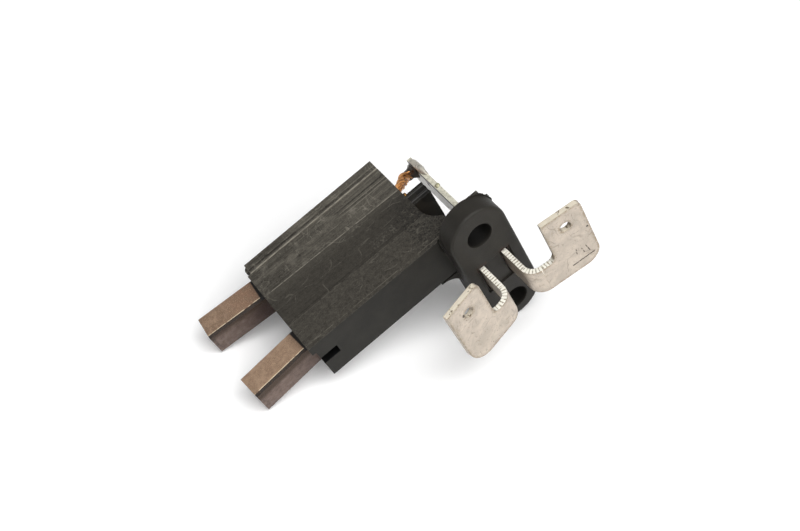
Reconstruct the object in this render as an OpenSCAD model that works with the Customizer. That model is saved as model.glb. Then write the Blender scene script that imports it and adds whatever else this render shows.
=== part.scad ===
// Twin carbon brush set: two spring-loaded brushes in one moulded holder, with a
// two-hole mounting flange and a bent tab terminal for each brush.
// Origin: midway between the two mounting holes, on the flange's front face.
// +X runs from the brushes towards the flange, +Y away from the terminals, +Z up.

/* [Holder body] */
// Length of the body along the brushes
body_l = 23.6; // [20:0.1:30]
// Width of the body across both brushes
body_w = 19.6; // [18.5:0.1:26]
// Height of the body
body_h = 8.2; // [7:0.1:12]
// Distance from the line of the mounting holes to the body's rear face
body_gap = 3.5; // [3:0.1:4.4]
// Height of the body's top above the centre of the upper mounting hole
top_rise = 1.1; // [0.5:0.1:2]
// Width of the low rail along the far top edge
rail_w = 2; // [1:0.1:2.2]
// How far the rail lies below the top face
rail_drop = 0.15; // [0.05:0.05:0.4]
// Depth of the groove beside the rail
groove_d = 0.45; // [0.2:0.05:0.7]
// Length of the notch in each side wall at the front
notch_l = 2.8; // [1:0.1:5]
// Height of that notch
notch_h = 1.55; // [0.8:0.05:3]
// Diameter of the round nose under the rail's front end
nose_d = 1.8; // [1:0.1:2]
// Height of that nose
nose_h = 1.5; // [0.8:0.1:3]
// How far the nose stands out in front of the body
nose_out = 0.45; // [0.1:0.05:0.6]
// Chamfer along the body's lower long edges
body_edge = 0.4; // [0.1:0.05:0.8]
// Height of the brush channels above the middle of the body
channel_rise = 0.25; // [0:0.05:0.6]
// How far the top wall stands out over the mouths of the channels
lip_out = 0.6; // [0.2:0.05:1]

/* [Brushes] */
// Width of a brush, across the holder
brush_w = 4; // [3:0.1:4.4]
// Height of a brush
brush_h = 4.4; // [3:0.1:5]
// Full length of a brush
brush_l = 15.5; // [13:0.1:18]
// Length of a brush that stands out of the holder at rest
brush_out = 10.2; // [8:0.1:11]
// How far a brush can be pushed in
brush_travel = 9; // [5:0.1:9.5]
// Chamfer along the two long edges of a brush that face the terminals' side
brush_edge = 0.35; // [0.1:0.05:0.6]
// Distance between the two brushes where they leave the holder
brush_pitch = 11.9; // [10.5:0.1:12.5]
// Angle by which each brush turns outwards
brush_splay = 4.5; // [2:0.5:5]
// Clearance between a brush and each wall of its channel
channel_gap = 0.15; // [0.05:0.01:0.25]
// Thickness of the wall behind a channel
rear_wall = 1.4; // [1:0.1:2.5]

/* [Springs and leads] */
// Wire diameter of a spring
spring_wire = 0.32; // [0.2:0.02:0.4]
// Outer diameter of a spring
spring_d = 3.6; // [2.6:0.1:3.8]
// Number of turns in a spring
spring_turns = 11; // [7:1:14]
// Gap at each end of a spring
spring_seat = 0.1; // [0.05:0.05:0.3]
// Diameter of the copper lead
lead_d = 1.2; // [0.8:0.05:1.3]
// Diameter of the hole behind a channel that passes the lead
lead_hole_d = 2; // [1.6:0.1:2.6]
// Distance of that hole from the channel's centre line
lead_hole_shift = 0.8; // [0.7:0.05:0.9]
// Depth of the bore in a brush that takes its lead
lead_bore_depth = 3; // [2:0.1:4]
// Wall of the tamped copper round the lead
tamping_wall = 0.4; // [0.3:0.05:0.6]
// Clearance round the tamped copper, inside and outside
tamping_gap = 0.03; // [0.02:0.01:0.06]

/* [Mounting flange] */
// Diameter of the mounting holes
hole_d = 4; // [3:0.1:4.6]
// Distance between the mounting holes
hole_pitch = 16.8; // [16:0.1:24]
// Radius of the flange's round ends
boss_r = 4.6; // [4.4:0.1:5]
// Thickness of the front part of the flange
boss_t = 3; // [2:0.1:4]
// Rounding of the flange's front edge
boss_edge = 0.4; // [0.2:0.05:0.8]
// Thickness of the slab behind it
slab_t = 2.6; // [2:0.1:4]
// Distance from the hole line to the slab's free edge
slab_side = 4; // [3.2:0.1:4.3]
// Distance by which the lower round end's centre lies above the lower hole
foot_rise = 0.95; // [0:0.05:1.2]
// Radius of the fillet between the body's rear face and the slab
neck_r = 3.7; // [2:0.1:4.2]
// Radius of the fillet under the body, beside the flange
heel_r = 2.9; // [1.5:0.1:4]
// Width of the curved relief in the body's side, round the flange's upper end
relief_w = 0.4; // [0.3:0.05:1]
// Depth of that relief
relief_d = 0.3; // [0.2:0.05:0.8]
// Height of that relief below the body's top
relief_h = 5.8; // [3:0.1:7]
// Width of the sunk panel round the terminals
panel_w = 5.8; // [5.4:0.1:7]
// Depth of the sunk panel
panel_d = 0.3; // [0.1:0.05:0.6]
// Height of the panel above the slots, and below them
panel_rim = 0.3; // [0.2:0.05:0.6]

/* [Divider] */
// Thickness of the divider behind the body
divider_w = 2.4; // [1.5:0.1:3]
// Length of the divider
divider_l = 3.2; // [2:0.1:4]
// How far the divider lies below the body's top
divider_drop = 1; // [0.5:0.1:2]

/* [Terminals] */
// Sheet thickness of the terminals
sheet_t = 0.8; // [0.6:0.05:0.9]
// Height of the strip that passes through the flange
strip_h = 5; // [4:0.1:6]
// Distance between the two strips
strip_pitch = 3.92; // [3.6:0.02:4.2]
// Distance of the strips' upper edge below the body's top
strip_drop = 7.45; // [6.9:0.05:7.9]
// Clearance between a strip and its slot
slot_gap = 0.2; // [0.1:0.05:0.3]
// Distance from the flange to the corner of the bend
corner_out = 6; // [5:0.1:9]
// Radius of the bend, to the middle of the sheet
bend_r = 2; // [1.5:0.1:3]
// Angle of the bend of the outer terminal
outer_bend = 83; // [70:1:90]
// Angle of the bend of the inner terminal
inner_bend = 78; // [70:1:90]
// Distance from the outer terminal's corner to its tab
outer_arm = 4.1; // [3.5:0.1:7]
// Distance from the inner terminal's corner to its tab
inner_arm = 3.3; // [3:0.1:6]
// Width of the tab
tab_w = 6.3; // [4.8:0.1:8]
// Height of the tab above the strip's lower edge
tab_rise = 13.1; // [11:0.1:16]
// Radius of the lower outer corner of the outer tab
outer_low_r = 2.6; // [1:0.1:4]
// Radius of the lower outer corner of the inner tab
inner_low_r = 3.2; // [1:0.1:4]
// Radius of the inner corner between the arm and the tab
web_r = 1.1; // [0.5:0.1:2]
// Radius of the rounded upper corner: the outer one on the outer tab, the inner one on the inner tab
top_r = 0.8; // [0.3:0.1:1.5]
// Radius of the other upper corner
sharp_r = 0.2; // [0.1:0.05:0.3]
// Diameter of the hole in the tab
tab_hole_d = 1.7; // [1.2:0.1:2.4]
// Distance of that hole from the tab's upper edge
tab_hole_drop = 2.9; // [2:0.05:5]
// Distance that the outer tail reaches beyond the body's far side
tail_over = 2; // [0.5:0.1:4]
// Distance that the inner tail reaches behind the slab
inner_tail = 5.3; // [4.8:0.1:5.6]

/* [Solder] */
// Radius of the solder where it meets the terminal
solder_r = 1.35; // [1:0.05:1.6]
// Height of the solder
solder_h = 1.6; // [1.2:0.1:2]
// Distance from the end of a terminal's tail to the middle of its solder
solder_inset = 1.35; // [1.1:0.05:1.6]

/* [Hidden] */
$fn = 64;
// Overlap between joined shapes, between a bend and its straight parts, and of a cut past a face
eps = 0.01;
lap = 0.03;
past = 1;

hole_z = hole_pitch / 2;
hole_r = hole_d / 2;
foot_z = foot_rise - hole_z;
slab_back = boss_t + slab_t;

body_x1 = -body_gap;
body_x0 = body_x1 - body_l;
body_y0 = boss_t;
body_y1 = body_y0 + body_w;
body_mid = body_y0 + body_w / 2;
body_z1 = hole_z + top_rise;
body_z0 = body_z1 - body_h;
channel_z = body_z1 - body_h / 2 + channel_rise;
channel_w = brush_w + 2 * channel_gap;
channel_h = brush_h + 2 * channel_gap;
channel_l = body_l - rear_wall;
brush_in = brush_l - brush_out;

strip_z1 = body_z1 - strip_drop;
strip_z0 = strip_z1 - strip_h;
slot_w = sheet_t + 2 * slot_gap;
neck_floor = strip_z1 + slot_gap;
panel_z1 = strip_z1 + slot_gap + panel_rim;
panel_z0 = strip_z0 - slot_gap - panel_rim;
tail_end = body_y1 + tail_over;
tamping_r = lead_d / 2 + tamping_gap + tamping_wall;
solder_near_y = slab_back + inner_tail - solder_inset;
solder_far_y = tail_end - solder_inset;
solder_far_z = strip_z1 - solder_r;
tail_face = strip_pitch / 2 - sheet_t / 2;
tip_r = lead_d / 2 + 0.15;
foot_h = solder_h / 5;

black = "#2b2a28";
copper_carbon = "#8a6f5c";
tin = "#d8d2c6";
copper = "#b8703a";
steel = "#9a9a98";
lead_grey = "#a09d97";

// A point in a channel: side is -1 near the terminals and 1 far from them, x runs inwards from
// the mouth along the channel's own centre line, y across it
function channel_point(side, x, y = 0) =
    [body_x0 + x * cos(brush_splay) + side * y * sin(brush_splay),
    body_mid + side * (brush_pitch / 2 - x * sin(brush_splay)) + y * cos(brush_splay), channel_z];

// A lead as far as the rear of the body: out of the brush, down the spring, through the hole
function lead_start(side) = [
    channel_point(side, brush_in - lead_bore_depth + 0.2),
    channel_point(side, brush_in),
    channel_point(side, (brush_in + channel_l) / 2),
    channel_point(side, channel_l - 1, lead_hole_shift / 2),
    channel_point(side, body_l - 0.5, lead_hole_shift)];

// Route of each lead, from inside the brush to its solder
lead_near_route = concat(lead_start(-1), [
    channel_point(-1, body_l + 0.8, lead_hole_shift) + [0, 0.1, -0.2],
    [-strip_pitch / 2, solder_near_y + 0.2, strip_z1 + solder_h + 1],
    [-strip_pitch / 2, solder_near_y, strip_z1 + solder_h / 2]]);
lead_rise = channel_point(1, body_l + 0.8, lead_hole_shift) + [0, 0.8, -0.3];
lead_fall = [tail_face - solder_h - 0.2, solder_far_y - 0.5, solder_far_z + 0.8];
lead_far_route = concat(lead_start(1), [
    lead_rise,
    (2 * lead_rise + lead_fall) / 3,
    (lead_rise + 2 * lead_fall) / 3,
    lead_fall,
    [tail_face - solder_h / 2, solder_far_y, solder_far_z]]);

// An outline in X and Z, from y0 to y1
module across(y0, y1) {
    translate([0, y1, 0]) rotate([90, 0, 0]) linear_extrude(y1 - y0) children();
}

// A place in a channel, as channel_point has it
module in_channel(side) {
    translate([body_x0, body_mid + side * brush_pitch / 2, channel_z])
        rotate([0, 0, -side * brush_splay]) children();
}

// Concave corner piece of radius r, its square corner at the origin
module fillet_2d(r) {
    difference() {
        translate([-eps, -eps]) square(r + eps);
        translate([r, r]) circle(r);
    }
}

// Flat disc with a rounded edge at its low end
module rounded_disc(r, t, e) {
    rotate_extrude() {
        square([r - e, t]);
        translate([0, e]) square([r, t - e]);
        intersection() {
            translate([r - e, e]) circle(e, $fn = 32);
            square([r, t]);
        }
    }
}

// Front part of the flange: an upright slot shape with a rounded front edge
module boss() {
    for (z = [foot_z, hole_z])
        translate([0, 0, z]) rotate([-90, 0, 0]) rounded_disc(boss_r, boss_t, boss_edge);
    translate([0, 0, foot_z]) linear_extrude(hole_z - foot_z) {
        translate([boss_edge - boss_r, 0]) square([2 * (boss_r - boss_edge), boss_t]);
        translate([-boss_r, boss_edge]) square([2 * boss_r, boss_t - boss_edge]);
        for (s = [-1, 1])
            translate([s * (boss_r - boss_edge), boss_edge]) circle(boss_edge, $fn = 32);
    }
}

// Slab behind the front part, cut square at its free edge
module slab() {
    across(boss_t - eps, slab_back) intersection() {
        union() {
            translate([0, foot_z]) circle(boss_r);
            translate([-boss_r, foot_z]) square([2 * boss_r, body_z1 - foot_z]);
        }
        translate([-boss_r, foot_z - boss_r]) square([boss_r + slab_side, body_z1 - foot_z + boss_r]);
    }
}

// Section of the body, with the rail and its groove along the far top edge
module body_section() {
    e = body_edge;
    g = groove_d;
    polygon([[e, 0], [body_w - e, 0], [body_w, e], [body_w, body_h - rail_drop],
        [body_w - rail_w + g / 2, body_h - rail_drop], [body_w - rail_w, body_h - g],
        [body_w - rail_w - g / 2, body_h], [0, body_h], [0, e]]);
}

module body_block() {
    translate([body_x0, body_y0, body_z0]) rotate([90, 0, 90]) linear_extrude(body_l) body_section();
    translate([body_x0 - nose_out + nose_d / 2, body_y1 - rail_w / 2, body_z1 - groove_d - nose_h])
        cylinder(d = nose_d, h = nose_h);
    lip_z = channel_z + channel_h / 2;
    translate([body_x0 - lip_out, body_y0, lip_z])
        cube([lip_out + eps, body_w - rail_w - groove_d / 2, body_z1 - lip_z]);
}

module divider() {
    z1 = body_z1 - divider_drop;
    translate([body_x1 - eps, body_mid - divider_w / 2, body_z0]) difference() {
        cube([divider_l + eps, divider_w, z1 - body_z0]);
        for (k = [1, 3])
            translate([-past, k * divider_w / 4, z1 - body_z0])
                rotate([0, 90, 0]) cylinder(r = divider_w / 9, h = divider_l + 2 * past, $fn = 24);
    }
}

// Room for one brush, its spring and its lead
module channel_cut(side) {
    in_channel(side) {
        translate([-past, -channel_w / 2, -channel_h / 2]) cube([channel_l + past, channel_w, channel_h]);
        translate([channel_l - eps, lead_hole_shift, 0]) rotate([0, 90, 0])
            cylinder(d = lead_hole_d, h = rear_wall + 2 * past);
    }
    wall_y = body_mid + side * (body_w / 2 + past);
    inner_y = body_mid + side * brush_pitch / 2;
    translate([body_x0 - past, min(wall_y, inner_y), channel_z - notch_h / 2])
        cube([notch_l + past, abs(wall_y - inner_y), notch_h]);
}

// Curved relief in the side wall, close round the flange's upper end
module relief_cut() {
    intersection() {
        translate([0, boss_t, hole_z]) rotate([-90, 0, 0]) difference() {
            cylinder(r = boss_r + relief_w, h = relief_d);
            translate([0, 0, -past]) cylinder(r = boss_r, h = relief_d + 2 * past);
        }
        translate([-2 * boss_r, 0, body_z1 - relief_h])
            cube([2 * boss_r - body_gap, slab_back, relief_h + past]);
    }
}

module slot_cut(side) {
    translate([side * strip_pitch / 2 - slot_w / 2, -past, strip_z0 - slot_gap])
        cube([slot_w, slab_back + 2 * past, strip_h + 2 * slot_gap]);
}

module holder() {
    color(black) difference() {
        union() {
            body_block();
            boss();
            slab();
            divider();
            translate([body_x1, slab_back, neck_floor])
                linear_extrude(body_z1 - neck_floor) fillet_2d(neck_r);
            across(boss_t, slab_back) translate([-boss_r, body_z0]) rotate(180) fillet_2d(heel_r);
        }
        for (side = [-1, 1]) {
            channel_cut(side);
            slot_cut(side);
            translate([0, -past, side * hole_z]) rotate([-90, 0, 0])
                cylinder(r = hole_r, h = slab_back + neck_r + past);
        }
        relief_cut();
        translate([-panel_w / 2, -past, panel_z0]) cube([panel_w, past + panel_d, panel_z1 - panel_z0]);
    }
}

module brush(side) {
    e = brush_edge;
    w = brush_w / 2;
    h = brush_h / 2;
    color(copper_carbon) in_channel(side) translate([-brush_out, 0, 0]) difference() {
        rotate([90, 0, 90]) linear_extrude(brush_l)
            polygon([[e - w, -h], [w, -h], [w, h], [e - w, h], [-w, h - e], [-w, e - h]]);
        translate([brush_l - lead_bore_depth, 0, 0]) rotate([0, 90, 0])
            cylinder(r = tamping_r + tamping_gap, h = lead_bore_depth + past);
    }
}

// Tamped copper that holds the lead in the brush's bore
module tamping(side) {
    color(copper) in_channel(side) translate([brush_in - lead_bore_depth, 0, 0]) rotate([0, 90, 0])
        difference() {
            cylinder(r = tamping_r, h = lead_bore_depth - tamping_gap);
            translate([0, 0, -past])
                cylinder(r = lead_d / 2 + tamping_gap, h = lead_bore_depth + 2 * past);
        }
}

// Point number k of a closed ring of n points, radius r, round p and square to the direction t
function ring_point(p, t, r, k, n) =
    let (u = cross(t, [0.3, 0.9, 0.31]), a = u / norm(u), b = cross(t, a) / norm(t), q = 360 * k / n)
    p + r * (cos(q) * a + sin(q) * b);

// Tube of radius r through the points, with n sides
module tube(points, r, n) {
    last = len(points) - 1;
    rings = [for (i = [0 : last])
        let (t = points[min(i + 1, last)] - points[max(i - 1, 0)])
        for (k = [0 : n - 1]) ring_point(points[i], t, r, k, n)];
    sides = [for (i = [0 : last - 1], k = [0 : n - 1])
        let (a = i * n + k, b = i * n + (k + 1) % n) [a, b, b + n, a + n]];
    polyhedron(rings, concat([[for (k = [n - 1 : -1 : 0]) k]], sides,
        [[for (k = [0 : n - 1]) last * n + k]]), convexity = 10);
}

// Smooth curve through the route's points, with some steps in each stretch
function smooth(p, steps) = let (last = len(p) - 1) concat(
    [for (i = [0 : last - 1], s = [0 : steps - 1])
        let (a = p[max(i - 1, 0)], b = p[i], c = p[i + 1], d = p[min(i + 2, last)], t = s / steps)
        0.5 * (2 * b + (c - a) * t + (2 * a - 5 * b + 4 * c - d) * t * t
            + (3 * b - a - 3 * c + d) * t * t * t)],
    [p[last]]);

module lead(route) {
    color(copper) tube(smooth(route, 3), lead_d / 2, 8);
}

// Compression spring between a brush and the wall behind it, its end turns closed
module spring(side) {
    length = channel_l - brush_in - 2 * spring_seat - spring_wire;
    r = (spring_d - spring_wire) / 2;
    pitch = (length - 2 * spring_wire) / (spring_turns - 2);
    steps = 12;
    color(steel) in_channel(side) translate([brush_in + spring_seat + spring_wire / 2, 0, 0])
        tube([for (i = [0 : spring_turns * steps])
            let (n = i / steps, x = spring_wire * min(n, 1) + pitch * max(0, min(n - 1, spring_turns - 2))
                + spring_wire * max(0, n - spring_turns + 1))
            [x, r * cos(360 * n), r * sin(360 * n)]], spring_wire / 2, 6);
}

// Face of a terminal's arm and tab, with the radii of the tab's upper inner, upper outer and lower
// corners: x along the sheet from the end of the bend, y up
module tab_outline(arm, inner_r, outer_r, low_r) {
    w = arm + tab_w;
    difference() {
        union() {
            translate([-lap, 0]) square([w + lap, strip_h]);
            translate([arm, 0]) square([tab_w, tab_rise]);
            translate([arm, strip_h]) mirror([1, 0]) fillet_2d(min(web_r, arm - eps));
        }
        translate([w, 0]) mirror([1, 0]) fillet_2d(low_r);
        translate([arm, tab_rise]) mirror([0, 1]) fillet_2d(inner_r);
        translate([w, tab_rise]) rotate(180) fillet_2d(outer_r);
        translate([arm + tab_w / 2, tab_rise - tab_hole_drop]) circle(d = tab_hole_d);
    }
}

// Terminal: a straight tail and strip, a bend to one side and a raised tab. It starts at the
// flange's front face, and its tail ends at y = tail
module terminal(side, bend, arm, tail, inner_r, outer_r, low_r) {
    t2 = sheet_t / 2;
    setback = bend_r * tan(bend / 2);
    color(tin) translate([side * strip_pitch / 2, 0, strip_z0]) mirror([side < 0 ? 1 : 0, 0, 0]) {
        linear_extrude(strip_h) {
            translate([-t2, setback - corner_out - lap])
                square([sheet_t, tail + corner_out - setback + lap]);
            translate([bend_r, setback - corner_out]) intersection() {
                difference() {
                    circle(bend_r + t2);
                    circle(bend_r - t2);
                }
                polygon([[0, 0], [-2 * bend_r, 0], [-2 * bend_r, -2 * bend_r],
                    [-3 * bend_r * cos(bend), -3 * bend_r * sin(bend)]]);
            }
        }
        translate([bend_r, setback - corner_out, 0]) rotate(bend - 90) translate([0, -bend_r, 0])
            across(-t2, t2) tab_outline(arm - setback, inner_r, outer_r, low_r);
    }
}

// Solder: a low cone that narrows to the lead, base at the origin, height up
module solder() {
    color(lead_grey) rotate_extrude() polygon([[0, 0], [solder_r, 0], [solder_r, foot_h],
        [tip_r, solder_h - foot_h], [tip_r, solder_h], [0, solder_h]]);
}

holder();
brush(-1);  // brush_near
brush(1);  // brush_far
tamping(-1);  // tamping_near
tamping(1);  // tamping_far
spring(-1);  // spring_near
spring(1);  // spring_far
lead(lead_near_route);  // lead_near
lead(lead_far_route);  // lead_far
terminal(-1, inner_bend, inner_arm, slab_back + inner_tail, top_r, sharp_r, inner_low_r);  // terminal_inner
terminal(1, outer_bend, outer_arm, tail_end, sharp_r, top_r, outer_low_r);  // terminal_outer
translate([-strip_pitch / 2, solder_near_y, strip_z1]) solder();  // solder_near
translate([tail_face, solder_far_y, solder_far_z]) rotate([0, -90, 0]) solder();  // solder_far
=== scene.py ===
"""Dresses a twin carbon brush holder: moulded holder, two sliding brushes, springs, copper
leads, bent tab terminals and their solder, on a pale studio floor."""

import math
import random

import bmesh
import bpy
from bpy.props import FloatProperty, FloatVectorProperty, IntProperty, PointerProperty
from mathutils import Matrix, Vector, noise


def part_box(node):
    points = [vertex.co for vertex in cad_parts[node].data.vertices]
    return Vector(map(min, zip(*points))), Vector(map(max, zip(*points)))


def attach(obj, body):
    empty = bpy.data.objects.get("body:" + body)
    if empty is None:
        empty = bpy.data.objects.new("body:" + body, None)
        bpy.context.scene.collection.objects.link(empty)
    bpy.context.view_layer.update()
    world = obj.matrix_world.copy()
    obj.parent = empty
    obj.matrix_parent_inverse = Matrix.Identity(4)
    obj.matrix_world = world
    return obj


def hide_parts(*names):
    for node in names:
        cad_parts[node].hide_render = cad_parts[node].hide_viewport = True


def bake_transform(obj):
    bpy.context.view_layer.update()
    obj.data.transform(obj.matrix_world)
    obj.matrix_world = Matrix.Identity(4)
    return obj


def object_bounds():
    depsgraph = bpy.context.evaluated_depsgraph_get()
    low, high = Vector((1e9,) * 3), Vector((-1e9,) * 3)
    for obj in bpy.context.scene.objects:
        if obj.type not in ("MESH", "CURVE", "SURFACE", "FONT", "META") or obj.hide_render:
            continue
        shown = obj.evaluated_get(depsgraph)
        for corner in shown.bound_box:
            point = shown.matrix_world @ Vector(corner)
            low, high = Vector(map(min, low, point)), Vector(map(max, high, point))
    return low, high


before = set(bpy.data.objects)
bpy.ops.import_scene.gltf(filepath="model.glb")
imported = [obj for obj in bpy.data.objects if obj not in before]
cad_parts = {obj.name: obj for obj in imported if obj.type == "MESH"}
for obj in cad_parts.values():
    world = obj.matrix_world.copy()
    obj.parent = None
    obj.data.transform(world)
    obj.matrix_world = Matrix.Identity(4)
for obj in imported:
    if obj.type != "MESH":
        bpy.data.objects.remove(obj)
cad_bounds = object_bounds()

bl_info = {
    "name": "Twin Carbon Brush Holder",
    "version": (1, 0, 0),
    "blender": (4, 5, 0),
    "location": "View3D > Sidebar > Brush Holder",
    "description": "Pieces, finishes and stage of a spring-loaded pair of carbon brushes",
    "category": "Object",
}

MM = 0.001


# ---------------------------------------------------------------- sizes and colours


def length(name, about, value, **limits):
    """A length property, its default given in millimetres."""
    return FloatProperty(name=name, description=about, default=value * MM, unit="LENGTH",
                         precision=5, min=0.0, **limits)


def colour(name, about, value):
    """A linear colour property."""
    return FloatVectorProperty(name=name, description=about, default=value, subtype="COLOR",
                               size=3, min=0.0, max=1.0)


class ChannelSizes(bpy.types.PropertyGroup):
    """Where the brush channels lie in the holder."""

    front: FloatProperty(name="Front", description="X of the holder body's front face",
                         default=-27.1 * MM, unit="LENGTH", precision=5)
    middle: length("Middle", "Y midway between the channels", 12.8)
    rise: length("Rise", "Z of the channels' centre lines", 5.65)
    pitch: length("Pitch", "Distance between the channels at the mouth", 11.9)
    splay: FloatProperty(name="Splay", description="Angle by which each channel turns outwards",
                         default=math.radians(4.5), subtype="ANGLE")
    depth: length("Depth", "Depth of a channel", 22.2)
    body: length("Body", "Length of the holder body", 23.6)
    brush_end: length("Brush end", "Depth of a brush's rear face in its channel", 5.3)


class HolderSizes(bpy.types.PropertyGroup):
    """Features of the holder that its finish follows."""

    wall: length("Wall", "Y of the body's side wall towards the terminals", 3.0)
    top: length("Top", "Z of the body's top", 9.5)
    groove: length("Groove", "Y of the groove beside the rail", 20.56)
    hole_radius: length("Hole radius", "Radius of a mounting hole", 2.0)
    hole_rise: length("Hole rise", "Z of the upper mounting hole", 8.4)
    slot: length("Slot", "X of the outer terminal's slot", 1.96)
    slot_rise: length("Slot rise", "Z of the slots' upper ends", 2.3)
    bend: length("Bend", "Radius of a terminal's bend at half its sheet's thickness", 2.0)


class WireSizes(bpy.types.PropertyGroup):
    """Springs and copper leads."""

    spring_wire: length("Spring wire", "Wire diameter of a spring", 0.32)
    spring_across: length("Spring", "Outer diameter of a spring", 3.6)
    spring_turns: IntProperty(name="Turns", description="Turns of a spring", default=11, min=4)
    spring_seat: length("Seat gap", "Gap at each end of a spring", 0.1)
    lead_across: length("Lead", "Diameter of a copper lead", 1.2)
    strand: length("Strand", "Diameter of one strand", 0.29)
    lay: length("Lay", "Length in which the strands turn once", 7.0)
    hole_shift: length("Hole shift", "Distance of the lead's hole from the channel's centre line", 0.8)


class FinishColours(bpy.types.PropertyGroup):
    """Colours of the finishes."""

    moulding: colour("Moulding", "Black moulding compound, top", (0.0145, 0.0122, 0.0088))
    moulding_side: colour("Moulding side", "Black moulding compound, sides", (0.0105, 0.0095, 0.0074))
    # Painted sheen: the flange gets a lighter tone than the sides of the same moulding.
    moulding_flange_sheen: colour("Flange", "Moulding of the flange", (0.019, 0.0172, 0.0142))
    moulding_neck: colour("Neck", "Moulding of the top near the neck", (0.010, 0.0085, 0.0062))
    scuff: colour("Scuff", "Worn and scratched moulding", (0.150, 0.137, 0.112))
    # Painted highlight: a bright broken line along the groove beside the rail.
    rubbed: colour("Rubbed", "Moulding rubbed bright in the groove", (0.285, 0.262, 0.215))
    # Painted shade: near black in the depths of the mounting holes and of the notch.
    recess_shade: colour("Recess", "Depths of the holes and the notch", (0.002, 0.002, 0.002))
    slot_flux: colour("Slot flux", "Flux on the moulding round the slots", (0.030, 0.014, 0.009))
    carbon: colour("Carbon", "Copper-graphite, rubbed", (0.215, 0.138, 0.090))
    carbon_light: colour("Light carbon", "Copper-graphite, rubbed bright", (0.325, 0.222, 0.150))
    carbon_fleck: colour("Carbon fleck", "Copper grains in the graphite", (0.62, 0.42, 0.27))
    carbon_side: colour("Carbon side", "Copper-graphite, pressed side", (0.168, 0.121, 0.099))
    carbon_dark: colour("Dark carbon", "Copper-graphite, darker side", (0.108, 0.072, 0.058))
    carbon_heated: colour("Heated carbon", "Top of the far brush near its mouth", (0.20, 0.10, 0.06))
    carbon_pit: colour("Pitted carbon", "Pits in a brush's top", (0.075, 0.045, 0.028))
    # Painted highlight: a bright line along a brush's upper edge.
    carbon_lip_highlight: colour("Carbon lip", "Bright upper edge of a brush", (0.85, 0.70, 0.50))
    carbon_dull: colour("Dull carbon", "Tarnish over the far brush's top", (0.09, 0.06, 0.04))
    carbon_drag: colour("Dragged carbon", "Press marks along a brush's side", (0.23, 0.17, 0.15))
    carbon_band: colour("Carbon band", "Brown band under a brush's upper edge", (0.040, 0.021, 0.010))
    carbon_shade: colour("Carbon shade", "Side of a brush near its mouth", (0.040, 0.020, 0.015))
    carbon_chip: colour("Chipped carbon", "Chips in a brush's side", (0.030, 0.020, 0.017))
    # Edges lightened partly by wear and partly as painted highlight.
    carbon_worn_highlight: colour("Worn carbon", "Worn edges of a brush", (0.34, 0.25, 0.20))
    # The chamfer's near-black colour is a painted dark reflection; the lighter grains are crumbled carbon.
    crumb: colour("Crumb", "Crumbled chamfer of a brush", (0.010, 0.006, 0.004))
    crumb_light: colour("Light crumb", "Grains in the chamfer", (0.070, 0.036, 0.019))
    # Painted shade on a brush inside its channel and in a line just outside the mouth.
    mouth_shade: colour("Mouth gap", "Brush inside its channel's mouth", (0.006, 0.005, 0.004))
    tin: colour("Tin", "Tinned sheet", (0.51, 0.445, 0.375))
    tin_stain: colour("Tin stain", "Stained borders of the sheet", (0.23, 0.17, 0.10))
    tin_smudge: colour("Tin smudge", "Smudges on the sheet", (0.28, 0.22, 0.16))
    tin_crack: colour("Tin crack", "Fine cracks in the tin", (0.16, 0.13, 0.10))
    tin_speck: colour("Tin speck", "Dark specks in the tin", (0.06, 0.045, 0.035))
    tin_mark: colour("Tin mark", "Scratches and dents on the tabs", (0.05, 0.038, 0.03))
    # Painted reflection: the sheared edge is painted near white and kept barely metallic.
    tin_edge_reflection: colour("Tin edge", "Sheared edge of the sheet", (0.93, 0.90, 0.80))
    tin_nick: colour("Tin nick", "Nicks across the sheared edge", (0.30, 0.25, 0.17))
    tab_edge: colour("Tab edge", "Upper edge of a tab", (0.70, 0.63, 0.51))
    tab_border: colour("Tab border", "Borders of a tab's upper edge", (0.42, 0.33, 0.20))
    tab_dirt: colour("Tab dirt", "Dirt on a tab's upper edge", (0.17, 0.13, 0.08))
    tail_dark: colour("Dark tail", "Upper edge of the tail, dull", (0.52, 0.50, 0.40))
    tail_light: colour("Light tail", "Upper edge of the tail, bright", (0.74, 0.72, 0.60))
    # Painted reflection: the tail's sides are painted near white.
    tail_side_reflection: colour("Tail face", "Sides of the tail", (0.90, 0.885, 0.86))
    tail_cloud: colour("Tail cloud", "Clouds on the tail's sides", (0.55, 0.51, 0.45))
    # Painted shade line under the tail's upper edge, and burnt specks on its side.
    tail_shade_and_burn: colour("Tail burn", "Burnt line and specks on the tail", (0.035, 0.028, 0.022))
    copper: colour("Copper", "Bare copper strand", (0.85, 0.41, 0.14))
    copper_dark: colour("Dark copper", "Tarnish on the strands", (0.26, 0.10, 0.035))
    solder: colour("Solder", "Dull solder", (0.22, 0.21, 0.19))
    # Painted light: the solder's upper faces are painted paler.
    solder_lit: colour("Pale solder", "Upper faces of the solder", (0.46, 0.43, 0.37))
    solder_film: colour("Solder film", "Flux film on the thin solder", (0.42, 0.40, 0.26))
    # Painted shade on the solder's side towards the strip.
    solder_shade: colour("Solder shade", "Burnt underside of the solder", (0.020, 0.012, 0.007))
    flux: colour("Flux", "Burnt flux", (0.055, 0.032, 0.014))
    amber: colour("Amber", "Clear bead of flux", (0.30, 0.15, 0.04))
    amber_dark: colour("Dark amber", "Darker parts of the bead", (0.12, 0.05, 0.015))
    steel: colour("Steel", "Spring wire", (0.42, 0.41, 0.39))
    steel_dark: colour("Dark steel", "Tarnish on the spring wire", (0.16, 0.15, 0.14))


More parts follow.
